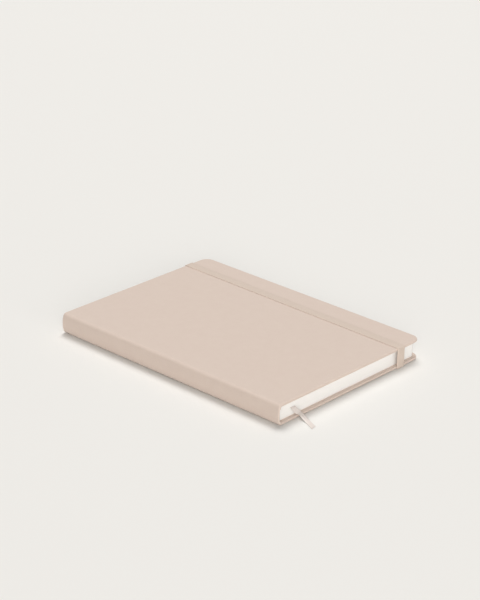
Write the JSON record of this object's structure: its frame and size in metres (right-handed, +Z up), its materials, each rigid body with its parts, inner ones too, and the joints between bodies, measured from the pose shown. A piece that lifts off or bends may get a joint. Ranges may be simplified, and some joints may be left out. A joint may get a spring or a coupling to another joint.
{
  "type": "hardcover notebook",
  "caption": "Hardcover notebook with a soft-touch cover turned in over boards, rounded fore-edge corners, an elastic closure and a ribbon marker.",
  "frame": {"origin": "under the middle of the closed notebook, on the surface that it lies on", "axes": "+X from the spine to the fore edge, +Y from the tail to the head, +Z up through the front cover"},
  "size_m": [0.1554, 0.2349, 0.017],
  "materials": {
    "paper": "uncoated ivory writing paper, cut edges with fine lines along the leaves",
    "endpaper": "smooth uncoated ivory endpaper",
    "lining_cloth": "open-weave glued lining cloth",
    "board": "grey bookbinding board",
    "cover_sheet": "matt soft-touch leatherette in pale blush beige with a very fine grain",
    "elastic": "flat woven elastic in a slightly darker beige",
    "ribbon": "satin ribbon in pale cream"
  },
  "bodies": {
    "page_block": {"page_block": "paper", "front_flyleaf": "endpaper", "back_flyleaf": "endpaper", "spine_lining": "lining_cloth", "spine_strip": "board", "spine_wrap": "cover_sheet", "ribbon_marker": "ribbon"},
    "front_cover": {"front_wrap": "cover_sheet", "front_board": "board", "front_pastedown": "endpaper"},
    "back_cover": {"back_wrap": "cover_sheet", "back_board": "board", "back_pastedown": "endpaper", "elastic_band": "elastic"}
  },
  "joints": [
    {"name": "front_cover_hinge", "type": "hinge", "parent": "page_block", "child": "front_cover", "pos_m": [-0.0743, 0, 0.01395], "axis": [0, -1, 0], "range_deg": [0, 180], "deforming": ["spine_wrap", "elastic_band"]},
    {"name": "back_cover_hinge", "type": "hinge", "parent": "page_block", "child": "back_cover", "pos_m": [-0.0743, 0, 0.00265], "axis": [0, 1, 0], "range_deg": [0, 180], "deforming": ["spine_wrap", "elastic_band"]}
  ]
}
